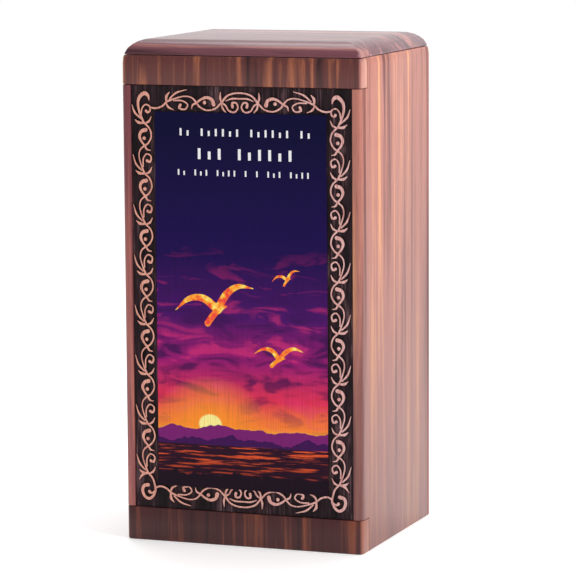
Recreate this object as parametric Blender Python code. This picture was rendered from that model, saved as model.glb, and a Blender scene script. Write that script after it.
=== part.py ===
"""Cremation urn box: an upright rosewood box with an engraved front panel.

Metres, +Z up. The front faces -Y, the box stands on z = 0 and is centred on x = y = 0.
Run with: blender --background --python part.py
"""
import math

import bmesh
import bpy
import numpy as np
from mathutils import Vector
from mathutils.geometry import delaunay_2d_cdt

MM = 0.001

# Whole box
WIDTH = 140 * MM
DEPTH = 120 * MM
HEIGHT = 280 * MM
GAP = 0.3 * MM

# Boards
TOP_THICK = 8.5 * MM
WALL_THICK = 10 * MM
BACK_THICK = 6 * MM
RAIL_THICK = 10.5 * MM
PANEL_THICK = 5 * MM
BASE_THICK = 8 * MM
STRIP_WIDTH = 5.4 * MM
BASE_LAP = 6 * MM
TOP_RAIL_BOTTOM = 255.1 * MM
BOTTOM_RAIL_TOP = 18.9 * MM

# Outer rounding, worked after the boards are joined
TOP_ROUND = 13 * MM
CORNER_ROUND = 3 * MM
MITRE_ROUND = 0.4 * MM
FOOT_EASE = 0.6 * MM
ROUND_STEPS = 7
CORNER_STEPS = 4

# Engraved panel
GROUND_DEPTH = 1.0 * MM
PICTURE_HALF_WIDTH = 50.2 * MM
PICTURE_TOP = 240.7 * MM
PICTURE_BOTTOM = 32.0 * MM
SCROLL_PITCH = 28.0 * MM
SIDE_REPEATS = 7
FIRST_JUNCTION = 20.8 * MM
STEP_LENGTH = 3.8 * MM
BALL_SIDES = 6

# Base screws
SCREW_X = 63 * MM
SCREW_Y = 36 * MM
SCREW_SHIFT = 2 * MM
SCREW_LENGTH = 22 * MM
SHANK_RADIUS = 1.3 * MM
HEAD_RADIUS = 2.5 * MM
HEAD_HEIGHT = 1.8 * MM
HEAD_SINK = 0.3 * MM
SLOT_WIDTH = 0.8 * MM
SLOT_DEPTH = 0.7 * MM
SCREW_SIDES = 12

HALF_W = WIDTH / 2
HALF_D = DEPTH / 2
BOARD_TOP = HEIGHT - TOP_THICK
PANEL_HALF_WIDTH = HALF_W - STRIP_WIDTH


def clear_scene():
    for obj in list(bpy.data.objects):
        bpy.data.objects.remove(obj, do_unlink=True)


def material(name, colour, roughness, metallic=0.0):
    """A Principled BSDF with one colour."""
    mat = bpy.data.materials.new(name)
    mat.use_nodes = True
    shader = mat.node_tree.nodes["Principled BSDF"]
    shader.inputs["Base Color"].default_value = (*colour, 1.0)
    shader.inputs["Roughness"].default_value = roughness
    shader.inputs["Metallic"].default_value = metallic
    return mat


def add_mesh(name, verts, faces, mat=None):
    """A mesh object with its faces turned outwards."""
    mesh = bpy.data.meshes.new(name)
    mesh.from_pydata([tuple(v) for v in verts], [], faces)
    bm = bmesh.new()
    bm.from_mesh(mesh)
    bmesh.ops.recalc_face_normals(bm, faces=bm.faces)
    bm.to_mesh(mesh)
    bm.free()
    obj = bpy.data.objects.new(name, mesh)
    bpy.context.collection.objects.link(obj)
    if mat:
        mesh.materials.append(mat)
    return obj


def box_data(low, high, first=0):
    """Corners and faces of a box, with face numbers counted from first."""
    corners = [(x, y, z) for z in (low[2], high[2]) for y in (low[1], high[1]) for x in (low[0], high[0])]
    faces = [(0, 2, 3, 1), (4, 5, 7, 6), (0, 1, 5, 4), (2, 6, 7, 3), (0, 4, 6, 2), (1, 3, 7, 5)]
    return corners, [tuple(first + i for i in face) for face in faces]


def add_boxes(name, boxes, mat=None):
    """One object made of separate boxes, each given as its low and high corner."""
    verts, faces = [], []
    for low, high in boxes:
        corners, sides = box_data(low, high, len(verts))
        verts += corners
        faces += sides
    return add_mesh(name, verts, faces, mat)


def as_cutter(obj):
    obj.hide_render = True
    obj.display_type = "WIRE"
    return obj


def boolean(obj, cutter, operation):
    mod = obj.modifiers.new(operation.lower() + "_" + cutter.name, "BOOLEAN")
    mod.operation = operation
    mod.solver = "EXACT"
    mod.object = cutter


# Outer form

def rounded_rectangle(inset, radius):
    """Points around the plan of the box, set in from its sides."""
    points = []
    corners = [(1, 1, 0.0), (-1, 1, 0.5), (-1, -1, 1.0), (1, -1, 1.5)]
    for sx, sy, turn in corners:
        cx = sx * (HALF_W - inset - radius)
        cy = sy * (HALF_D - inset - radius)
        for step in range(CORNER_STEPS + 1):
            angle = math.pi * (turn + 0.5 * step / CORNER_STEPS)
            points.append((cx + radius * math.cos(angle), cy + radius * math.sin(angle)))
    return points


def envelope():
    """The outer form that every board is trimmed to."""
    levels = [(0.0, FOOT_EASE), (FOOT_EASE, 0.0)]
    for step in range(ROUND_STEPS + 1):
        angle = 0.5 * math.pi * step / ROUND_STEPS
        z = HEIGHT - TOP_ROUND + TOP_ROUND * math.sin(angle)
        levels.append((z, TOP_ROUND * (1 - math.cos(angle))))
    verts, faces = [], []
    for z, inset in levels:
        radius = max(CORNER_ROUND - inset, MITRE_ROUND)
        verts += [(x, y, z) for x, y in rounded_rectangle(inset, radius)]
    count = 4 * (CORNER_STEPS + 1)
    for level in range(len(levels) - 1):
        for i in range(count):
            a = level * count + i
            b = level * count + (i + 1) % count
            faces.append((a, b, b + count, a + count))
    faces.append(tuple(reversed(range(count))))
    faces.append(tuple(range(len(verts) - count, len(verts))))
    return as_cutter(add_mesh("outer_form", verts, faces))


# Scroll ornament. Points are millimetres: across the border from its outer edge, then along it.

def side_repeat():
    """One repeat of the side border: (points, half widths), top to bottom."""
    return [
        ([(7.9, 0.0), (11.2, 3.2), (12.2, 7.6), (10.2, 11.4), (8.2, 12.6)], (0.5, 0.45, 0.4, 0.5, 0.5)),
        ([(8.9, 4.0), (6.4, 4.8), (5.2, 7.4), (6.2, 10.2), (8.2, 12.6)], (1.1, 0.9, 0.8, 0.6, 0.5)),
        ([(8.2, 12.6), (5.5, 15.1), (4.8, 18.9), (6.2, 23.9), (7.9, 28.0)], (0.5, 0.4, 0.35, 0.4, 0.6)),
        ([(7.2, 24.6), (7.3, 20.0), (9.4, 17.2), (12.0, 18.7), (11.3, 21.6), (9.6, 21.0)],
         (0.4, 0.4, 0.4, 0.4, 0.6, 0.8)),
        ([(8.2, 12.6), (9.6, 14.8), (11.8, 15.2)], (0.6, 0.5, 0.15)),
        ([(1.1, 17.6), (2.9, 22.9), (6.4, 26.6)], (0.15, 0.55, 0.4)),
        ([(2.6, 26.4), (4.8, 28.0), (7.6, 28.2)], (0.15, 0.8, 0.5)),
        ([(12.4, 24.4), (10.9, 27.2), (8.4, 28.4)], (0.15, 0.6, 0.4)),
    ]


def side_balls():
    return [((8.0, 8.6), 1.0)]


def top_corner():
    """Corner above the side border: (across, down) from the panel's top corner."""
    return [
        ([(11.2, 8.4), (10.4, 5.6), (8.1, 4.6), (5.2, 7.2), (4.5, 11.0), (5.6, 15.8), (7.9, 20.8)],
         (0.2, 0.9, 1.1, 0.9, 0.7, 0.6, 0.5)),
        ([(6.2, 16.6), (6.9, 12.9), (9.0, 10.8), (11.4, 11.7), (11.7, 14.0), (10.2, 15.2), (9.3, 14.3)],
         (0.4, 0.4, 0.4, 0.4, 0.5, 0.6, 0.8)),
        ([(11.2, 12.1), (15.0, 12.7), (19.0, 11.4), (21.6, 8.9)], (0.4, 0.5, 0.5, 0.5)),
        ([(0.9, 11.0), (2.5, 15.2), (6.4, 18.8)], (0.15, 0.6, 0.4)),
        ([(2.6, 19.2), (4.8, 20.8), (7.6, 21.0)], (0.15, 0.8, 0.5)),
        ([(12.4, 17.2), (10.9, 20.0), (8.4, 21.2)], (0.15, 0.6, 0.4)),
    ]


def bottom_corner():
    """Corner below the side border: (across, up) from the panel's bottom corner."""
    return [
        ([(7.9, 19.4), (10.4, 16.8), (11.7, 13.4), (12.2, 9.8), (10.8, 6.5), (8.2, 4.8), (5.6, 6.2),
          (4.4, 9.3), (5.3, 11.9), (7.8, 12.6)], (0.5, 0.5, 0.5, 0.6, 0.7, 0.8, 0.8, 0.8, 0.9, 1.0)),
        ([(11.9, 10.9), (15.1, 12.2), (18.9, 11.2), (21.6, 8.9)], (0.5, 0.5, 0.5, 0.5)),
        ([(8.6, 8.8), (9.9, 8.0), (11.6, 9.2)], (0.9, 0.5, 0.4)),
        ([(2.4, 15.4), (4.6, 18.2), (7.8, 19.2)], (0.15, 0.7, 0.4)),
    ]


def cross_repeat():
    """Half of the top or bottom border between its two junctions: (inwards, down)."""
    start, stretch = 21.6, 32.3 / 28.0
    strokes = []
    for points, widths in side_repeat():
        laid = [(start + (28.0 - along) * stretch, across + 1.0) for across, along in points]
        strokes.append((laid, widths))
    return strokes


def cross_balls():
    start, stretch = 21.6, 32.3 / 28.0
    return [((start + (28.0 - along) * stretch, across + 1.0), r) for (across, along), r in side_balls()]


def centre_half():
    """Half of the centre motif: (inwards, down), where 64.6 inwards is the middle."""
    return [
        ([(53.9, 8.9), (57.2, 5.2), (61.2, 3.7), (64.6, 3.4)], (0.6, 0.5, 0.45, 0.45)),
        ([(53.9, 8.9), (56.4, 10.4), (58.2, 13.2), (61.6, 13.9), (63.6, 11.4), (62.4, 8.8), (60.2, 9.0),
          (60.4, 11.0)], (0.5, 0.45, 0.45, 0.45, 0.45, 0.5, 0.6, 0.8)),
        ([(56.4, 7.9), (60.0, 6.6), (64.6, 6.5)], (0.2, 0.5, 0.4)),
        ([(56.6, 14.2), (54.6, 12.0), (53.9, 9.2)], (0.15, 0.6, 0.4)),
        ([(53.4, 3.0), (53.2, 6.2), (53.9, 8.9)], (0.15, 0.6, 0.4)),
    ]


def smooth(points, widths):
    """Even steps along a rounded path through the points, with its half widths."""
    pts = np.array(points, float)
    wide = np.array(widths, float)
    full = np.vstack([2 * pts[0] - pts[1], pts, 2 * pts[-1] - pts[-2]])
    line, half = [pts[0]], [wide[0]]
    for i in range(len(pts) - 1):
        p0, p1, p2, p3 = full[i:i + 4]
        steps = max(1, round(np.hypot(*(p2 - p1)) * MM / STEP_LENGTH))
        for k in range(1, steps + 1):
            t = k / steps
            line.append(0.5 * (2 * p1 + (p2 - p0) * t + (2 * p0 - 5 * p1 + 4 * p2 - p3) * t * t
                               + (3 * p1 - p0 - 3 * p2 + p3) * t ** 3))
            half.append(wide[i] + (wide[i + 1] - wide[i]) * t)
    return np.array(line), np.array(half)


def ribbon(points, widths):
    """Quads along a stroke, in millimetres."""
    line, half = smooth(points, widths)
    along = np.gradient(line, axis=0)
    along /= np.hypot(along[:, 0], along[:, 1])[:, None]
    side = np.stack([-along[:, 1], along[:, 0]], 1) * half[:, None]
    left, right = line + side, line - side
    quads = [[right[i], right[i + 1], left[i + 1], left[i]] for i in range(len(line) - 1)]
    quads += [disc(end, size) for end, size in ((line[0], half[0]), (line[-1], half[-1])) if size > 0.7]
    return quads


def disc(centre, radius):
    angles = [2 * math.pi * (i + 0.5) / BALL_SIDES for i in range(BALL_SIDES)]
    return [np.array([centre[0] + radius * math.cos(a), centre[1] + radius * math.sin(a)]) for a in angles]


def place(polygons, mapping):
    """Polygons in panel coordinates (x, z), in metres, each counter-clockwise."""
    placed = []
    for polygon in polygons:
        points = [mapping(p) for p in polygon]
        area = sum(a[0] * b[1] - b[0] * a[1] for a, b in zip(points, points[1:] + points[:1]))
        placed.append(points if area > 0 else points[::-1])
    return placed


def scroll_polygons():
    """Every raised stroke of the border."""
    def shapes(strokes, balls=()):
        found = [quad for points, widths in strokes for quad in ribbon(points, widths)]
        return found + [disc(centre, radius) for centre, radius in balls]

    upper = shapes(top_corner() + cross_repeat() + centre_half(), cross_balls())
    lower = shapes(bottom_corner() + cross_repeat() + centre_half(), cross_balls())
    repeat = shapes(side_repeat(), side_balls())
    left, top = PANEL_HALF_WIDTH, TOP_RAIL_BOTTOM
    placed = []
    for side in (-1, 1):
        def from_top(p, side=side):
            return side * (left - p[0] * MM), top - p[1] * MM

        def from_bottom(p, side=side):
            return side * (left - p[0] * MM), BOTTOM_RAIL_TOP + p[1] * MM

        placed += place(upper, from_top) + place(lower, from_bottom)
        for row in range(SIDE_REPEATS):
            start = top - FIRST_JUNCTION - row * SCROLL_PITCH
            placed += place(repeat, lambda p, s=side, z=start: (s * (left - p[0] * MM), z - p[1] * MM))
    return placed


def rectangle(half_width, low, high):
    return [(-half_width, low), (half_width, low), (half_width, high), (-half_width, high)]


def panel_regions():
    """Triangles over the panel's face, each marked as raised or ground."""
    half = PANEL_HALF_WIDTH - GAP / 2
    low, high = BOTTOM_RAIL_TOP + GAP / 2, TOP_RAIL_BOTTOM - GAP / 2
    polygons = [rectangle(half, low, high)]
    polygons.append(rectangle(PICTURE_HALF_WIDTH, PICTURE_BOTTOM, PICTURE_TOP))
    polygons += scroll_polygons()
    coords, faces = [], []
    for polygon in polygons:
        faces.append(list(range(len(coords), len(coords) + len(polygon))))
        coords += [Vector((x / MM, z / MM)) for x, z in polygon]
    verts, _, tris, _, _, owners = delaunay_2d_cdt(coords, [], faces, 1, 0.02, True)
    raised = [any(owner > 0 for owner in own) for own in owners]
    return [(v.x * MM, v.y * MM) for v in verts], tris, raised


def close_pinches(tris, raised):
    """Raise the ground at a point where two strokes would only touch."""
    around = {}
    for index, tri in enumerate(tris):
        for corner in tri:
            around.setdefault(corner, []).append(index)
    changed = True
    while changed:
        changed = False
        for corner, fan in around.items():
            ends = {}
            for index in fan:
                for other in tris[index]:
                    if other != corner:
                        ends.setdefault(other, []).append(raised[index])
            steps = sum(1 for states in ends.values() if len(states) == 2 and states[0] != states[1])
            if steps > 2:
                for index in fan:
                    raised[index] = True
                changed = True
    return raised


def front_panel(mat):
    """One plate: sunken ground, raised scrolls and the flat picture field."""
    points, tris, raised = panel_regions()
    raised = close_pinches(tris, raised)
    front, ground, back = -HALF_D, -HALF_D + GROUND_DEPTH, -HALF_D + PANEL_THICK
    verts, faces, numbers = [], [], {}

    def vertex(point, depth):
        key = (point, depth)
        if key not in numbers:
            numbers[key] = len(verts)
            verts.append((points[point][0], depth, points[point][1]))
        return numbers[key]

    edges = {}
    for tri, high in zip(tris, raised):
        depth = front if high else ground
        faces.append(tuple(vertex(p, depth) for p in tri))
        for a, b in zip(tri, tri[1:] + tri[:1]):
            edges[(a, b)] = high
    rim = {}
    for (a, b), high in edges.items():
        other = edges.get((b, a))
        if other is None:
            rim[a] = b
            faces.append((vertex(b, ground), vertex(a, ground), vertex(a, back), vertex(b, back)))
        elif high and not other:
            faces.append((vertex(b, front), vertex(a, front), vertex(a, ground), vertex(b, ground)))
    start = next(iter(rim))
    loop = [start]
    while rim[loop[-1]] != start:
        loop.append(rim[loop[-1]])
    faces.append(tuple(vertex(p, back) for p in reversed(loop)))
    return add_mesh("front_panel", verts, faces, mat)


# Base screws

def turned(profile, centre, start):
    """Corners and faces of a turned shape on a vertical axis, profile given as (radius, z)."""
    verts = [(centre[0], centre[1], profile[0][1])]
    for radius, z in profile:
        for i in range(SCREW_SIDES):
            angle = 2 * math.pi * i / SCREW_SIDES
            verts.append((centre[0] + radius * math.cos(angle), centre[1] + radius * math.sin(angle), z))
    verts.append((centre[0], centre[1], profile[-1][1]))
    faces = []
    last = len(verts) - 1
    for i in range(SCREW_SIDES):
        j = (i + 1) % SCREW_SIDES
        faces.append((0, 1 + j, 1 + i))
        for level in range(len(profile) - 1):
            a = 1 + level * SCREW_SIDES
            faces.append((a + i, a + j, a + SCREW_SIDES + j, a + SCREW_SIDES + i))
        faces.append((last, last - SCREW_SIDES + i, last - SCREW_SIDES + j))
    return verts, [tuple(start + n for n in face) for face in faces]


def screw_places():
    return [(sx * SCREW_X, sy * SCREW_Y + SCREW_SHIFT) for sy in (-1, 1) for sx in (-1, 1)]


def screw_holes():
    """Countersunk holes through the base plate and into the walls."""
    head_top = HEAD_SINK + HEAD_HEIGHT
    profile = [(HEAD_RADIUS + GAP, -1 * MM), (HEAD_RADIUS + GAP, HEAD_SINK), (SHANK_RADIUS + GAP, head_top),
               (SHANK_RADIUS + GAP, SCREW_LENGTH + GAP)]
    verts, faces = [], []
    for centre in screw_places():
        more, sides = turned(profile, centre, len(verts))
        verts += more
        faces += sides
    return as_cutter(add_mesh("screw_holes", verts, faces))


def base_screws(mat):
    """Four countersunk screws with a slot in the head."""
    head_top = HEAD_SINK + HEAD_HEIGHT
    profile = [(HEAD_RADIUS, HEAD_SINK), (SHANK_RADIUS, head_top), (SHANK_RADIUS, SCREW_LENGTH - 3 * MM),
               (0.2 * MM, SCREW_LENGTH)]
    slots = []
    for x, y in screw_places():
        low = (x - HEAD_RADIUS - MM, y - SLOT_WIDTH / 2, HEAD_SINK - MM)
        slots.append((low, (x + HEAD_RADIUS + MM, y + SLOT_WIDTH / 2, HEAD_SINK + SLOT_DEPTH)))
    slot_cutter = as_cutter(add_boxes("screw_slots", slots))
    for number, centre in enumerate(screw_places(), 1):
        verts, faces = turned(profile, centre, 0)
        screw = add_mesh("base_screw_%d" % number, verts, faces, mat)
        boolean(screw, slot_cutter, "DIFFERENCE")


# Boards

def boards(outer):
    """The boards of the box, each trimmed to the outer form."""
    half_gap = GAP / 2
    wall_top = BOARD_TOP - half_gap
    past = 5 * MM
    rail_back = -HALF_D + RAIL_THICK
    rebates = as_cutter(add_boxes("wall_rebates", [
        ((-HALF_W - past, -HALF_D - past, TOP_RAIL_BOTTOM - half_gap), (HALF_W + past, rail_back + GAP, HEIGHT)),
        ((-HALF_W - past, -HALF_D - past, -past), (HALF_W + past, rail_back + GAP, BOTTOM_RAIL_TOP + half_gap)),
    ]))
    panel_seat = as_cutter(add_boxes("panel_seat", [
        ((-PANEL_HALF_WIDTH - half_gap, -HALF_D - past, BOTTOM_RAIL_TOP - past),
         (PANEL_HALF_WIDTH + half_gap, -HALF_D + PANEL_THICK + GAP, TOP_RAIL_BOTTOM + past)),
    ]))
    base_half = HALF_W - WALL_THICK + BASE_LAP
    base_seat = as_cutter(add_boxes("base_seat", [
        ((-base_half - half_gap, rail_back, -past), (base_half + half_gap, HALF_D + past, BASE_THICK + GAP)),
    ]))
    holes = screw_holes()

    back_face = HALF_D - BACK_THICK
    for name, side, colour in (("left_wall", -1, (0.42, 0.22, 0.17)), ("right_wall", 1, (0.62, 0.32, 0.25))):
        inner, outer_x = sorted((side * (HALF_W - WALL_THICK), side * HALF_W))
        wall = add_boxes(name, [((inner, -HALF_D, 0.0), (outer_x, back_face - half_gap, wall_top))],
                         material(name + "_wood", colour, 0.34))
        for cutter in (rebates, panel_seat, base_seat, holes):
            boolean(wall, cutter, "DIFFERENCE")
        boolean(wall, outer, "INTERSECT")

    plain = [
        ("top_board", (-HALF_W, -HALF_D, BOARD_TOP + half_gap), (HALF_W, HALF_D, HEIGHT), (0.6, 0.36, 0.34)),
        ("front_top_rail", (-HALF_W, -HALF_D, TOP_RAIL_BOTTOM + half_gap), (HALF_W, rail_back, wall_top),
         (0.24, 0.09, 0.07)),
        ("front_bottom_rail", (-HALF_W, -HALF_D, 0.0), (HALF_W, rail_back, BOTTOM_RAIL_TOP - half_gap),
         (0.16, 0.06, 0.06)),
        ("back_board", (-HALF_W, back_face + half_gap, 0.0), (HALF_W, HALF_D, wall_top), (0.3, 0.14, 0.11)),
    ]
    for name, low, high, colour in plain:
        board = add_boxes(name, [(low, high)], material(name + "_wood", colour, 0.34))
        boolean(board, outer, "INTERSECT")

    base_low = (-base_half, rail_back + GAP, 0.0)
    base_high = (base_half, back_face - half_gap, BASE_THICK)
    base = add_boxes("base_plate", [(base_low, base_high)], material("base_plate_wood", (0.2, 0.1, 0.08), 0.55))
    boolean(base, holes, "DIFFERENCE")


def main():
    clear_scene()
    boards(envelope())
    front_panel(material("panel_engraved_wood", (0.45, 0.22, 0.18), 0.42))
    base_screws(material("screw_steel", (0.62, 0.6, 0.55), 0.35, 1.0))


main()
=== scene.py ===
"""Looks of the cremation urn box: rosewood boards, engraved scroll border and printed picture field."""

import math

import bmesh
import bpy
import numpy as np
from mathutils import Matrix, Vector
from mathutils.geometry import delaunay_2d_cdt


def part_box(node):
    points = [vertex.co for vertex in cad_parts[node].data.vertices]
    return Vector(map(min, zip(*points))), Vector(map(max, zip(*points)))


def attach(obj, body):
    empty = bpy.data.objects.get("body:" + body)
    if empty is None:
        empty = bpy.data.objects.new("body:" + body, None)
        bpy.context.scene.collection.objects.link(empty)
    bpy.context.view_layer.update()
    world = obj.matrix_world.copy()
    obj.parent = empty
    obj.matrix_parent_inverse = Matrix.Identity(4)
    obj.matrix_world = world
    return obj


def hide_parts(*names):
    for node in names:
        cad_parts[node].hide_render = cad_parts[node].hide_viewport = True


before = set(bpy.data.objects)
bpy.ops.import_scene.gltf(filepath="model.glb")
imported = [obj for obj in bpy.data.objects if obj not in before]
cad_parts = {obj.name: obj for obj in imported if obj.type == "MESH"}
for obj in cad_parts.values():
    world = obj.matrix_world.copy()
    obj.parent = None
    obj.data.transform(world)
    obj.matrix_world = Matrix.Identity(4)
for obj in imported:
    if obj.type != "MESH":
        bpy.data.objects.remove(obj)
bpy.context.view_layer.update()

MM = 0.001

# Panel, in the row frame
PANEL_LOW, PANEL_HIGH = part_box("front_panel")
FRONT = PANEL_LOW[1]
PANEL_BACK = PANEL_HIGH[1]
GROUND_DEPTH = 1.0 * MM
HALF_GAP = 0.15 * MM
PANEL_HALF_WIDTH = PANEL_HIGH[0] + HALF_GAP
PANEL_TOP = PANEL_HIGH[2] + HALF_GAP
PANEL_BOTTOM = PANEL_LOW[2] - HALF_GAP
PICTURE_HALF_WIDTH = 50.2 * MM
PICTURE_TOP = 240.7 * MM
PICTURE_BOTTOM = 32.0 * MM
SCROLL_PITCH = 28.0 * MM
SIDE_REPEATS = 7
FIRST_JUNCTION = 20.8 * MM
STEP_LENGTH = 1.0 * MM
BALL_SIDES = 16

# Top and bottom borders, in millimetres from the panel's side
REPEAT_LENGTH = 28.0
CROSS_START = 21.6
CROSS_STRETCH = 32.3 / REPEAT_LENGTH
CROSS_DROP = 1.0

# Strokes, in millimetres: half width from which an end is round, and how near points are joined
ROUND_END = 0.7
POINT_JOIN = 0.005

# Boards' edges
BEVEL = 0.35 * MM
BEVEL_ANGLE = math.radians(35)
WELD = 0.01 * MM
FLAT_ANGLE = math.radians(0.5)

# Light
WORLD_LIGHT = 0.5
FLOOR_GLOW = 0.3
BACKDROP_GLOW = 1.0
STAGE_REACH = 6.0
LAMPS = (("key", (1.6, -0.3, 1.4), 1.2, 26.0), ("top", (-0.2, 0.6, 1.8), 1.0, 12.0))
LAMP_AIM = Vector((0, 0, 0.14))
WHITE = (1.0, 1.0, 1.0, 1.0)

# Camera, set to the photograph's viewing angle
AZIMUTH = math.radians(20.4954)
ELEVATION = math.radians(7.6491)
ROLL = math.radians(-0.38393)
TARGET = Vector((0, 0, 0.146))
DISTANCE = 1.8715
ASIDE = 0.0047
ABOVE = -0.0089
LENS = 207.0
SENSOR = 36.0

# Regions of the panel's face
GROUND, SCROLL, PICTURE, BIRD, WORDS = range(5)


def rgb(red, green, blue):
    """Linear colour from 0 to 255 display values."""
    def linear(value):
        share = value / 255
        return ((share + 0.055) / 1.055) ** 2.4 if value > 10 else share / 12.92

    return linear(red), linear(green), linear(blue), 1.0


# Materials

class Tree:
    """Short calls for building one material's nodes."""

    def __init__(self, name):
        self.mat = bpy.data.materials.new(name)
        self.mat.use_nodes = True
        self.nodes = self.mat.node_tree.nodes
        self.links = self.mat.node_tree.links
        self.shader = self.nodes["Principled BSDF"]
        self.place = self.nodes.new("ShaderNodeTexCoord").outputs["Object"]

    def put(self, socket, value):
        if isinstance(value, bpy.types.NodeSocket):
            self.links.new(value, socket)
        else:
            socket.default_value = value

    def math(self, operation, a, b=0.0, c=0.0, clamp=False):
        node = self.nodes.new("ShaderNodeMath")
        node.operation = operation
        node.use_clamp = clamp
        for socket, value in zip(node.inputs, (a, b, c)):
            self.put(socket, value)
        return node.outputs[0]

    def axes(self):
        node = self.nodes.new("ShaderNodeSeparateXYZ")
        self.put(node.inputs[0], self.place)
        return node.outputs[0], node.outputs[1], node.outputs[2]

    def vector(self, x, y, z):
        node = self.nodes.new("ShaderNodeCombineXYZ")
        for socket, value in zip(node.inputs, (x, y, z)):
            self.put(socket, value)
        return node.outputs[0]

    def stretched(self, scale, shift=(0, 0, 0)):
        node = self.nodes.new("ShaderNodeMapping")
        self.put(node.inputs["Vector"], self.place)
        node.inputs["Scale"].default_value = scale
        node.inputs["Location"].default_value = shift
        return node.outputs[0]

    def noise(self, vector, scale=1.0, detail=3.0, distortion=0.0):
        node = self.nodes.new("ShaderNodeTexNoise")
        self.put(node.inputs["Vector"], vector)
        node.inputs["Scale"].default_value = scale
        node.inputs["Detail"].default_value = detail
        node.inputs["Distortion"].default_value = distortion
        return node.outputs["Fac"]

    def ramp(self, factor, stops):
        node = self.nodes.new("ShaderNodeValToRGB")
        self.put(node.inputs[0], factor)
        elements = node.color_ramp.elements
        while len(elements) < len(stops):
            elements.new(0.5)
        for element, (position, colour) in zip(elements, stops):
            element.position = position
            element.color = colour
        return node.outputs[0]

    def mix(self, factor, a, b):
        node = self.nodes.new("ShaderNodeMix")
        node.data_type = "RGBA"
        self.put(node.inputs[0], factor)
        self.put(node.inputs[6], a)
        self.put(node.inputs[7], b)
        return node.outputs[2]

    def step(self, value, low, high):
        """0 below low, 1 above high, even between."""
        return self.math("MULTIPLY_ADD", value, 1 / (high - low), -low / (high - low), clamp=True)

    def bump(self, height, distance, strength=1.0):
        node = self.nodes.new("ShaderNodeBump")
        node.inputs["Strength"].default_value = strength
        node.inputs["Distance"].default_value = distance
        self.put(node.inputs["Height"], height)
        self.put(self.shader.inputs["Normal"], node.outputs[0])

    def finish(self, colour, roughness, coat=0.0, metallic=0.0, specular=0.3):
        self.put(self.shader.inputs["Base Color"], colour)
        self.put(self.shader.inputs["Roughness"], roughness)
        self.shader.inputs["Metallic"].default_value = metallic
        self.shader.inputs["Specular IOR Level"].default_value = specular
        self.shader.inputs["Coat Weight"].default_value = coat
        self.shader.inputs["Coat Roughness"].default_value = 0.22
        return self.mat


def along(axis, fine, coarse):
    """A texture scale that is coarse along one axis."""
    scale = [fine, fine, fine]
    scale["XYZ".index(axis)] = coarse
    return tuple(scale)


def rosewood(name, axis, dark, middle, light, shift, roughness=0.4, coat=0.08, painted_foot_shade=None, ends=None):
    """Streaked rosewood whose grain runs along one axis.

    A foot colour darkens it towards its foot as painted shade, and ends colours what shows on the sides of
    the box in the side wall's lit tones, as painted light.
    """
    tree = Tree(name)
    bands = tree.noise(tree.stretched(along(axis, 55, 3.0), shift), 1.0, 4.0, 1.4)
    veins = tree.noise(tree.stretched(along(axis, 210, 5.0), shift), 1.0, 3.0, 0.6)
    pores = tree.noise(tree.stretched(along(axis, 2200, 60.0), shift), 1.0, 2.0)
    blend = tree.math("MULTIPLY_ADD", veins, 0.5, tree.math("MULTIPLY", bands, 0.7))
    colour = tree.ramp(blend, [(0.42, dark), (0.55, middle), (0.62, middle), (0.74, light)])
    # Painted shade: darker towards the foot.
    if painted_foot_shade:
        height = tree.axes()[2]
        colour = tree.mix(tree.step(height, -0.08, 0.24), painted_foot_shade, colour)
    # Painted light: the rail's ends on the sides take the side wall's lit tones, lighter than the rail's
    # shaded front.
    if ends:
        outward = tree.math("ABSOLUTE", tree.axes()[0])
        painted_lit_side = tree.ramp(blend, [(0.36, ends[0]), (0.55, ends[1]), (0.78, ends[2])])
        colour = tree.mix(tree.step(outward, 0.0684, 0.0696), colour, painted_lit_side)
    marks = tree.step(pores, 0.56, 0.7)
    colour = tree.mix(tree.math("MULTIPLY", marks, 0.45), colour, dark)
    rough = tree.math("MULTIPLY_ADD", pores, 0.16, roughness - 0.08)
    tree.bump(pores, 0.00006, 0.6)
    return tree.finish(colour, rough, coat)


def engraved_ground():
    """Burnt ground with upright streaks left by the engraver."""
    tree = Tree("engraved_ground")
    streaks = tree.noise(tree.stretched((1500, 1500, 60)), 1.0, 3.0)
    patches = tree.noise(tree.stretched((160, 160, 40), (3, 0, 5)), 1.0, 3.0)
    value = tree.math("MULTIPLY_ADD", patches, 0.5, tree.math("MULTIPLY", streaks, 0.5))
    colour = tree.ramp(value, [(0.38, rgb(16, 9, 13)), (0.55, rgb(46, 28, 34)), (0.7, rgb(112, 84, 88))])
    tree.bump(streaks, 0.0002, 0.8)
    return tree.finish(colour, 0.62, specular=0.15)


def scroll_tops():
    """Bare pale wood left standing."""
    tree = Tree("scroll_tops")
    grain = tree.noise(tree.stretched((900, 900, 40)), 1.0, 3.0)
    across = tree.step(tree.axes()[0], -0.07, 0.07)
    base = tree.mix(across, rgb(226, 160, 140), rgb(226, 178, 174))
    colour = tree.mix(tree.step(grain, 0.45, 0.75), base, rgb(178, 108, 96))
    tree.bump(grain, 0.00008, 0.5)
    return tree.finish(colour, 0.45)


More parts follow.
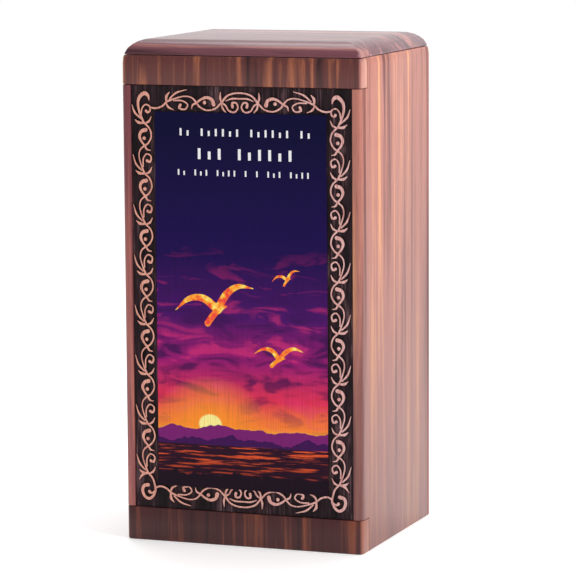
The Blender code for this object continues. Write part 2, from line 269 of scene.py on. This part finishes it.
def sunset():
    """The printed field: night sky over a low sun, hills and water."""
    tree = Tree("printed_sunset")
    x, _, z = tree.axes()
    level = tree.step(z, PICTURE_BOTTOM, PICTURE_TOP)
    sky = tree.ramp(level, [
        (0.12, rgb(255, 214, 70)), (0.17, rgb(250, 130, 50)), (0.24, rgb(222, 50, 80)),
        (0.34, rgb(150, 22, 110)), (0.46, rgb(72, 12, 100)), (0.62, rgb(26, 3, 76)), (0.95, rgb(5, 3, 50)),
    ])
    clouds = tree.noise(tree.stretched((38, 38, 120), (0.3, 0, 0.2)), 1.0, 6.0, 0.8)
    band = tree.math("MULTIPLY", tree.step(level, 0.12, 0.3), tree.step(level, 0.66, 0.4))
    dark_share = tree.math("MULTIPLY", tree.step(clouds, 0.5, 0.62), tree.math("MULTIPLY", band, 0.8))
    sky = tree.mix(dark_share, sky, rgb(52, 8, 76))
    lit_share = tree.math("MULTIPLY", tree.step(clouds, 0.46, 0.36), tree.math("MULTIPLY", band, 0.5))
    sky = tree.mix(lit_share, sky, rgb(226, 50, 120))
    sun_height = tree.math("MULTIPLY", tree.math("SUBTRACT", z, 0.068), 1.25)
    sun = tree.vector(tree.math("ADD", x, 0.019), 0.0, sun_height)
    length = tree.nodes.new("ShaderNodeVectorMath")
    length.operation = "LENGTH"
    tree.put(length.inputs[0], sun)
    distance = length.outputs["Value"]
    sky = tree.mix(tree.step(distance, 0.034, 0.004), sky, rgb(255, 150, 40))
    sky = tree.mix(tree.step(distance, 0.0072, 0.0062), sky, rgb(255, 240, 150))

    def ridge(base, lift, scale, shift):
        bends = tree.noise(tree.vector(tree.math("MULTIPLY_ADD", x, scale, shift), 0.0, 0.0), 1.0, 4.0)
        height = tree.math("MULTIPLY_ADD", bends, lift, base - lift / 2)
        return tree.step(tree.math("SUBTRACT", height, z), 0.0, 0.0003)

    colour = tree.mix(ridge(0.066, 0.022, 28, 4.0), sky, rgb(120, 30, 110))
    colour = tree.mix(ridge(0.060, 0.018, 60, 9.0), colour, rgb(62, 14, 80))
    ripples = tree.noise(tree.stretched((60, 60, 900), (1, 0, 2)), 1.0, 4.0)
    near = tree.mix(tree.step(ripples, 0.52, 0.66), rgb(44, 8, 34), rgb(250, 96, 44))
    near = tree.mix(tree.step(z, 0.030, 0.056), rgb(30, 6, 26), near)
    colour = tree.mix(tree.step(z, 0.0565, 0.0560), colour, near)
    colour = tree.mix(ridge(0.040, 0.014, 110, 2.0), colour, rgb(24, 5, 24))
    grain = tree.noise(tree.stretched((1400, 1400, 30)), 1.0, 2.0)
    colour = tree.mix(tree.math("MULTIPLY", tree.step(grain, 0.5, 0.75), 0.25), colour, rgb(10, 4, 30))
    tree.bump(grain, 0.00006, 0.5)
    return tree.finish(colour, 0.4, specular=0.1)


def golden():
    """Printed golden birds."""
    tree = Tree("printed_birds")
    flecks = tree.noise(tree.stretched((260, 260, 260)), 1.0, 3.0)
    colour = tree.ramp(flecks, [
        (0.35, rgb(240, 70, 60)), (0.5, rgb(255, 150, 40)), (0.66, rgb(255, 232, 110)),
    ])
    return tree.finish(colour, 0.4, specular=0.1)


def white_ink():
    return Tree("white_ink").finish(rgb(240, 238, 240), 0.42)


def steel():
    tree = Tree("screw_steel")
    wear = tree.noise(tree.stretched((900, 900, 900)), 1.0, 2.0)
    return tree.finish(rgb(190, 186, 176), tree.math("MULTIPLY_ADD", wear, 0.2, 0.22), 0.0, 1.0)


# Scroll ornament. Points are millimetres: across the border from its outer edge, then along it.

def side_repeat():
    """One repeat of the side border: (points, half widths), top to bottom."""
    return [
        ([(7.9, 0.0), (11.2, 3.2), (12.2, 7.6), (10.2, 11.4), (8.2, 12.6)], (0.5, 0.45, 0.4, 0.5, 0.5)),
        ([(8.9, 4.0), (6.4, 4.8), (5.2, 7.4), (6.2, 10.2), (8.2, 12.6)], (1.1, 0.9, 0.8, 0.6, 0.5)),
        ([(8.2, 12.6), (5.5, 15.1), (4.8, 18.9), (6.2, 23.9), (7.9, 28.0)], (0.5, 0.4, 0.35, 0.4, 0.6)),
        ([(7.2, 24.6), (7.3, 20.0), (9.4, 17.2), (12.0, 18.7), (11.3, 21.6), (9.6, 21.0)],
         (0.4, 0.4, 0.4, 0.4, 0.6, 0.8)),
        ([(8.2, 12.6), (9.6, 14.8), (11.8, 15.2)], (0.6, 0.5, 0.15)),
        ([(1.1, 17.6), (2.9, 22.9), (6.4, 26.6)], (0.15, 0.55, 0.4)),
        ([(2.6, 26.4), (4.8, 28.0), (7.6, 28.2)], (0.15, 0.8, 0.5)),
        ([(12.4, 24.4), (10.9, 27.2), (8.4, 28.4)], (0.15, 0.6, 0.4)),
    ]


def side_balls():
    return [((8.0, 8.6), 1.0)]


def top_corner():
    """Corner above the side border: (across, down) from the panel's top corner."""
    return [
        ([(11.2, 8.4), (10.4, 5.6), (8.1, 4.6), (5.2, 7.2), (4.5, 11.0), (5.6, 15.8), (7.9, 20.8)],
         (0.2, 0.9, 1.1, 0.9, 0.7, 0.6, 0.5)),
        ([(6.2, 16.6), (6.9, 12.9), (9.0, 10.8), (11.4, 11.7), (11.7, 14.0), (10.2, 15.2), (9.3, 14.3)],
         (0.4, 0.4, 0.4, 0.4, 0.5, 0.6, 0.8)),
        ([(11.2, 12.1), (15.0, 12.7), (19.0, 11.4), (21.6, 8.9)], (0.4, 0.5, 0.5, 0.5)),
        ([(0.9, 11.0), (2.5, 15.2), (6.4, 18.8)], (0.15, 0.6, 0.4)),
        ([(2.6, 19.2), (4.8, 20.8), (7.6, 21.0)], (0.15, 0.8, 0.5)),
        ([(12.4, 17.2), (10.9, 20.0), (8.4, 21.2)], (0.15, 0.6, 0.4)),
    ]


def bottom_corner():
    """Corner below the side border: (across, up) from the panel's bottom corner."""
    return [
        ([(7.9, 19.4), (10.4, 16.8), (11.7, 13.4), (12.2, 9.8), (10.8, 6.5), (8.2, 4.8), (5.6, 6.2),
          (4.4, 9.3), (5.3, 11.9), (7.8, 12.6)], (0.5, 0.5, 0.5, 0.6, 0.7, 0.8, 0.8, 0.8, 0.9, 1.0)),
        ([(11.9, 10.9), (15.1, 12.2), (18.9, 11.2), (21.6, 8.9)], (0.5, 0.5, 0.5, 0.5)),
        ([(8.6, 8.8), (9.9, 8.0), (11.6, 9.2)], (0.9, 0.5, 0.4)),
        ([(2.4, 15.4), (4.6, 18.2), (7.8, 19.2)], (0.15, 0.7, 0.4)),
    ]


def inward(across, down):
    """A point of the side repeat, turned to run along the top or bottom border."""
    return CROSS_START + (REPEAT_LENGTH - down) * CROSS_STRETCH, across + CROSS_DROP


def cross_repeat():
    """Half of the top or bottom border between its two junctions: (inwards, down)."""
    return [([inward(across, down) for across, down in points], widths) for points, widths in side_repeat()]


def cross_balls():
    return [(inward(across, down), radius) for (across, down), radius in side_balls()]


def centre_half():
    """Half of the centre motif: (inwards, down), where 64.6 inwards is the middle."""
    return [
        ([(53.9, 8.9), (57.2, 5.2), (61.2, 3.7), (64.6, 3.4)], (0.6, 0.5, 0.45, 0.45)),
        ([(53.9, 8.9), (56.4, 10.4), (58.2, 13.2), (61.6, 13.9), (63.6, 11.4), (62.4, 8.8), (60.2, 9.0),
          (60.4, 11.0)], (0.5, 0.45, 0.45, 0.45, 0.45, 0.5, 0.6, 0.8)),
        ([(56.4, 7.9), (60.0, 6.6), (64.6, 6.5)], (0.2, 0.5, 0.4)),
        ([(56.6, 14.2), (54.6, 12.0), (53.9, 9.2)], (0.15, 0.6, 0.4)),
        ([(53.4, 3.0), (53.2, 6.2), (53.9, 8.9)], (0.15, 0.6, 0.4)),
    ]


def smooth(points, widths):
    """Even steps along a rounded path through the points, with its half widths."""
    pts = np.array(points, float)
    wide = np.array(widths, float)
    full = np.vstack([2 * pts[0] - pts[1], pts, 2 * pts[-1] - pts[-2]])
    line, half = [pts[0]], [wide[0]]
    for i in range(len(pts) - 1):
        p0, p1, p2, p3 = full[i:i + 4]
        steps = max(1, round(np.hypot(*(p2 - p1)) * MM / STEP_LENGTH))
        for k in range(1, steps + 1):
            t = k / steps
            line.append(0.5 * (2 * p1 + (p2 - p0) * t + (2 * p0 - 5 * p1 + 4 * p2 - p3) * t * t
                               + (3 * p1 - p0 - 3 * p2 + p3) * t ** 3))
            half.append(wide[i] + (wide[i + 1] - wide[i]) * t)
    return np.array(line), np.array(half)


def ribbon(points, widths):
    """Quads along a stroke, in millimetres."""
    line, half = smooth(points, widths)
    forward = np.gradient(line, axis=0)
    forward /= np.hypot(forward[:, 0], forward[:, 1])[:, None]
    side = np.stack([-forward[:, 1], forward[:, 0]], 1) * half[:, None]
    left, right = line + side, line - side
    quads = [[right[i], right[i + 1], left[i + 1], left[i]] for i in range(len(line) - 1)]
    ends = ((line[0], half[0]), (line[-1], half[-1]))
    quads += [disc(end, size) for end, size in ends if size > ROUND_END]
    return quads


def disc(centre, radius):
    angles = [2 * math.pi * (i + 0.5) / BALL_SIDES for i in range(BALL_SIDES)]
    return [np.array([centre[0] + radius * math.cos(a), centre[1] + radius * math.sin(a)]) for a in angles]


def place(polygons, mapping):
    """Polygons in panel coordinates (x, z), in metres, each counter-clockwise."""
    placed = []
    for polygon in polygons:
        points = [mapping(p) for p in polygon]
        area = sum(a[0] * b[1] - b[0] * a[1] for a, b in zip(points, points[1:] + points[:1]))
        placed.append(points if area > 0 else points[::-1])
    return placed


def scroll_polygons():
    """Every raised stroke of the border."""
    def shapes(strokes, balls=()):
        found = [quad for points, widths in strokes for quad in ribbon(points, widths)]
        return found + [disc(centre, radius) for centre, radius in balls]

    upper = shapes(top_corner() + cross_repeat() + centre_half(), cross_balls())
    lower = shapes(bottom_corner() + cross_repeat() + centre_half(), cross_balls())
    repeat = shapes(side_repeat(), side_balls())
    placed = []
    for side in (-1, 1):
        def from_top(p, side=side):
            return side * (PANEL_HALF_WIDTH - p[0] * MM), PANEL_TOP - p[1] * MM

        def from_bottom(p, side=side):
            return side * (PANEL_HALF_WIDTH - p[0] * MM), PANEL_BOTTOM + p[1] * MM

        placed += place(upper, from_top) + place(lower, from_bottom)
        for row in range(SIDE_REPEATS):
            start = PANEL_TOP - FIRST_JUNCTION - row * SCROLL_PITCH

            def down_side(p, side=side, start=start):
                return side * (PANEL_HALF_WIDTH - p[0] * MM), start - p[1] * MM

            placed += place(repeat, down_side)
    return placed


# What is printed on the picture field

# Marks: half width as a share of their spacing, and a short mark's height as a share of a tall one's
MARK_HALF_WIDTH = 0.14
SHORT_MARK = 0.72


def bird(x, z, size, tilt):
    """A plain bird on the wing: two bent wings and a body, in millimetres."""
    strokes = [
        ([(0, 0), (-6, 5.5), (-13, 6), (-20, 1.5)], (1.9, 1.7, 1.2, 0.12)),
        ([(0, 0), (5, 6.5), (11, 9.5), (18, 8)], (1.9, 1.7, 1.2, 0.12)),
        ([(-5.5, -5.5), (-2, -1.8), (1.5, 0.6), (4.6, 1.2)], (1.5, 1.5, 1.3, 0.3)),
    ]
    cosine, sine = math.cos(tilt), math.sin(tilt)

    def mapping(p):
        across = x + size * (p[0] * cosine - p[1] * sine)
        height = z + size * (p[0] * sine + p[1] * cosine)
        return across * MM, height * MM

    return place([quad for points, widths in strokes for quad in ribbon(points, widths)], mapping)


def birds():
    return bird(-14, 132, 1.25, 0.12) + bird(22, 106, 0.75, -0.1) + bird(27, 150, 0.45, 0.2)


def words():
    """Three rows of plain upright strokes, none of them a letter."""
    rows = [
        (229.8, 2.0, (-37, 42), (2, 6, 6, 2)),
        (218.0, 3.0, (-27, 32), (3, 6)),
        (207.6, 1.6, (-38, 41), (2, 3, 4, 1, 1, 3, 4)),
    ]
    shapes = []
    for middle, half, (start, end), groups in rows:
        marks = sum(groups) + len(groups) - 1
        pitch = (end - start) / marks
        at = start + pitch / 2
        for group in groups:
            for mark in range(group):
                tall = half if mark % 3 != 1 else half * SHORT_MARK
                level = middle - half + tall
                left, right = (at - MARK_HALF_WIDTH * pitch) * MM, (at + MARK_HALF_WIDTH * pitch) * MM
                low, high = (level - tall) * MM, (level + tall) * MM
                shapes.append([(left, low), (right, low), (right, high), (left, high)])
                at += pitch
            at += pitch
    return shapes


def rectangle(half_width, low, high):
    return [(-half_width, low), (half_width, low), (half_width, high), (-half_width, high)]


def panel_regions():
    """Triangles over the panel's face, and the region that each is in."""
    groups = [
        (GROUND, [rectangle(PANEL_HIGH[0], PANEL_LOW[2], PANEL_HIGH[2])]),
        (PICTURE, [rectangle(PICTURE_HALF_WIDTH, PICTURE_BOTTOM, PICTURE_TOP)]),
        (SCROLL, scroll_polygons()),
        (BIRD, birds()),
        (WORDS, words()),
    ]
    coords, faces, kinds = [], [], []
    for kind, polygons in groups:
        for polygon in polygons:
            faces.append(list(range(len(coords), len(coords) + len(polygon))))
            coords += [Vector((x / MM, z / MM)) for x, z in polygon]
            kinds.append(kind)
    verts, _, tris, _, _, owners = delaunay_2d_cdt(coords, [], faces, 1, POINT_JOIN, True)
    regions = [max(kinds[owner] for owner in own) for own in owners]
    return [(v.x * MM, v.y * MM) for v in verts], tris, regions


def engraved_panel():
    """The plate with its sunken ground, raised strokes and printed field."""
    points, tris, regions = panel_regions()
    ground = FRONT + GROUND_DEPTH
    verts, faces, kinds, numbers = [], [], [], {}

    def vertex(point, depth):
        key = (point, depth)
        if key not in numbers:
            numbers[key] = len(verts)
            verts.append((points[point][0], depth, points[point][1]))
        return numbers[key]

    edges = {}
    for tri, kind in zip(tris, regions):
        depth = ground if kind == GROUND else FRONT
        faces.append(tuple(vertex(p, depth) for p in tri))
        kinds.append(kind)
        for a, b in zip(tri, tri[1:] + tri[:1]):
            edges[(a, b)] = kind
    rim = {}
    for (a, b), kind in edges.items():
        other = edges.get((b, a))
        if other is None:
            rim[a] = b
            faces.append((vertex(b, ground), vertex(a, ground), vertex(a, PANEL_BACK), vertex(b, PANEL_BACK)))
            kinds.append(GROUND)
        elif kind != GROUND and other == GROUND:
            faces.append((vertex(b, FRONT), vertex(a, FRONT), vertex(a, ground), vertex(b, ground)))
            kinds.append(GROUND)
    start = next(iter(rim))
    loop = [start]
    while rim[loop[-1]] != start:
        loop.append(rim[loop[-1]])
    faces.append(tuple(vertex(p, PANEL_BACK) for p in reversed(loop)))
    kinds.append(GROUND)
    mesh = bpy.data.meshes.new("engraved_panel")
    mesh.from_pydata(verts, [], faces)
    for mat in (engraved_ground(), scroll_tops(), sunset(), golden(), white_ink()):
        mesh.materials.append(mat)
    for face, kind in zip(mesh.polygons, kinds):
        face.material_index = kind
    panel = bpy.data.objects.new("engraved_panel", mesh)
    bpy.context.collection.objects.link(panel)
    return panel


# Boards

def eased(node, name, mat):
    """A copy of a board with its edges lightly eased."""
    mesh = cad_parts[node].data.copy()
    bm = bmesh.new()
    bm.from_mesh(mesh)
    bmesh.ops.remove_doubles(bm, verts=bm.verts, dist=WELD)
    bmesh.ops.dissolve_limit(bm, angle_limit=FLAT_ANGLE, verts=bm.verts, edges=bm.edges)
    for face in bm.faces:
        face.smooth = True
    bm.to_mesh(mesh)
    bm.free()
    mesh.materials.clear()
    mesh.materials.append(mat)
    piece = bpy.data.objects.new(name, mesh)
    bpy.context.collection.objects.link(piece)
    bevel = piece.modifiers.new("eased_edges", "BEVEL")
    bevel.width = BEVEL
    bevel.segments = 2
    bevel.limit_method = "ANGLE"
    bevel.angle_limit = BEVEL_ANGLE
    bevel.harden_normals = True
    return piece


def dress(piece, node):
    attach(piece, "root")
    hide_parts(node)


def build_boards():
    # Painted light: the side wall's lit tones for the top rail's ends, and darker tones near the foot,
    # painted shade, for the bottom rail's ends.
    painted_lit_side_tones = (rgb(140, 80, 74), rgb(190, 128, 116), rgb(226, 160, 124))
    painted_lit_foot_tones = (rgb(88, 50, 50), rgb(134, 84, 78), rgb(170, 110, 88))
    boards = {
        "top_board": rosewood(
            "top_wood", "X", rgb(66, 28, 38), rgb(112, 62, 72), rgb(176, 112, 104), (1, 2, 3),
            roughness=0.3, coat=0.35),
        # Painted light and shade: the walls are one rosewood, right_wall in the lit side's lighter tones and
        # left_wall in the shaded front edge's darker tones; right_wall is also darker towards its foot as
        # painted shade.
        "left_wall": rosewood(
            "left_wood", "Z", rgb(70, 30, 34), rgb(128, 68, 74), rgb(176, 104, 92), (4, 1, 2)),
        "right_wall": rosewood(
            "right_wood_painted_lit", "Z", rgb(112, 58, 52), rgb(184, 118, 104), rgb(232, 160, 112), (2, 6, 1),
            painted_foot_shade=rgb(98, 62, 62)),
        "front_top_rail": rosewood(
            "top_rail_wood", "Z", rgb(48, 20, 24), rgb(98, 50, 46), rgb(168, 98, 68), (7, 3, 2),
            ends=painted_lit_side_tones),
        "front_bottom_rail": rosewood(
            "bottom_rail_wood", "Z", rgb(34, 14, 18), rgb(72, 32, 34), rgb(130, 68, 48), (3, 8, 4),
            ends=painted_lit_foot_tones),
        "back_board": rosewood(
            "back_wood", "Z", rgb(92, 46, 44), rgb(150, 92, 84), rgb(196, 132, 106), (5, 5, 5)),
        "base_plate": rosewood(
            "base_wood", "X", rgb(62, 34, 32), rgb(104, 64, 56), rgb(138, 92, 76), (6, 2, 7),
            roughness=0.6, coat=0.0),
    }
    for node, mat in boards.items():
        dress(eased(node, node + "_eased", mat), node)


def build_screws():
    mat = steel()
    for number in range(1, 5):
        node = "base_screw_%d" % number
        piece = eased(node, node + "_head", mat)
        piece.modifiers.clear()
        for face in piece.data.polygons:
            face.use_smooth = False
        dress(piece, node)


# Setting

def stage_plane(name, corners, glow, colour, roughness):
    """One large glowing plane around the object."""
    mesh = bpy.data.meshes.new(name)
    mesh.from_pydata(corners, [], [(0, 1, 2, 3)])
    plane = bpy.data.objects.new(name, mesh)
    bpy.context.scene.collection.objects.link(plane)
    tree = Tree(name)
    tree.shader.inputs["Emission Color"].default_value = WHITE
    tree.shader.inputs["Emission Strength"].default_value = glow
    mesh.materials.append(tree.finish(colour, roughness))
    return plane


def studio():
    scene = bpy.context.scene
    scene.view_settings.view_transform = "Standard"
    world = bpy.data.worlds.new("studio")
    scene.world = world
    world.use_nodes = True
    background = world.node_tree.nodes["Background"]
    background.inputs["Color"].default_value = WHITE
    background.inputs["Strength"].default_value = WORLD_LIGHT

    r = STAGE_REACH
    level = [(-r, -r, 0), (r, -r, 0), (r, r, 0), (-r, r, 0)]
    floor = stage_plane("floor", level, FLOOR_GLOW, (0.9, 0.9, 0.9, 1.0), 0.7)
    upright = [(-r, r / 2, 0), (r, r / 2, 0), (r, r / 2, r), (-r, r / 2, r)]
    backdrop = stage_plane("backdrop", upright, BACKDROP_GLOW, (0.0, 0.0, 0.0, 1.0), 1.0)

    for name, spot, size, power in LAMPS:
        light = bpy.data.lights.new(name, "AREA")
        light.size = size
        light.energy = power
        lamp = bpy.data.objects.new(name, light)
        scene.collection.objects.link(lamp)
        lamp.location = spot
        lamp.rotation_euler = (LAMP_AIM - Vector(spot)).to_track_quat("-Z", "Y").to_euler()


def camera():
    """Long lens, aimed from its azimuth, elevation and roll."""
    level = math.cos(ELEVATION)
    back = Vector((math.sin(AZIMUTH) * level, -math.cos(AZIMUTH) * level, math.sin(ELEVATION)))
    flat_right = Vector((math.cos(AZIMUTH), math.sin(AZIMUTH), 0.0))
    flat_up = back.cross(flat_right)
    right = math.cos(ROLL) * flat_right + math.sin(ROLL) * flat_up
    up = -math.sin(ROLL) * flat_right + math.cos(ROLL) * flat_up
    spot = TARGET + right * ASIDE + up * ABOVE + back * DISTANCE
    data = bpy.data.cameras.new("camera")
    data.lens = LENS
    data.sensor_width = SENSOR
    eye = bpy.data.objects.new("camera", data)
    bpy.context.scene.collection.objects.link(eye)
    turn = Matrix((right, up, back)).transposed().to_4x4()
    eye.matrix_world = Matrix.Translation(spot) @ turn
    bpy.context.scene.camera = eye


build_boards()
build_screws()
dress(engraved_panel(), "front_panel")
studio()
camera()
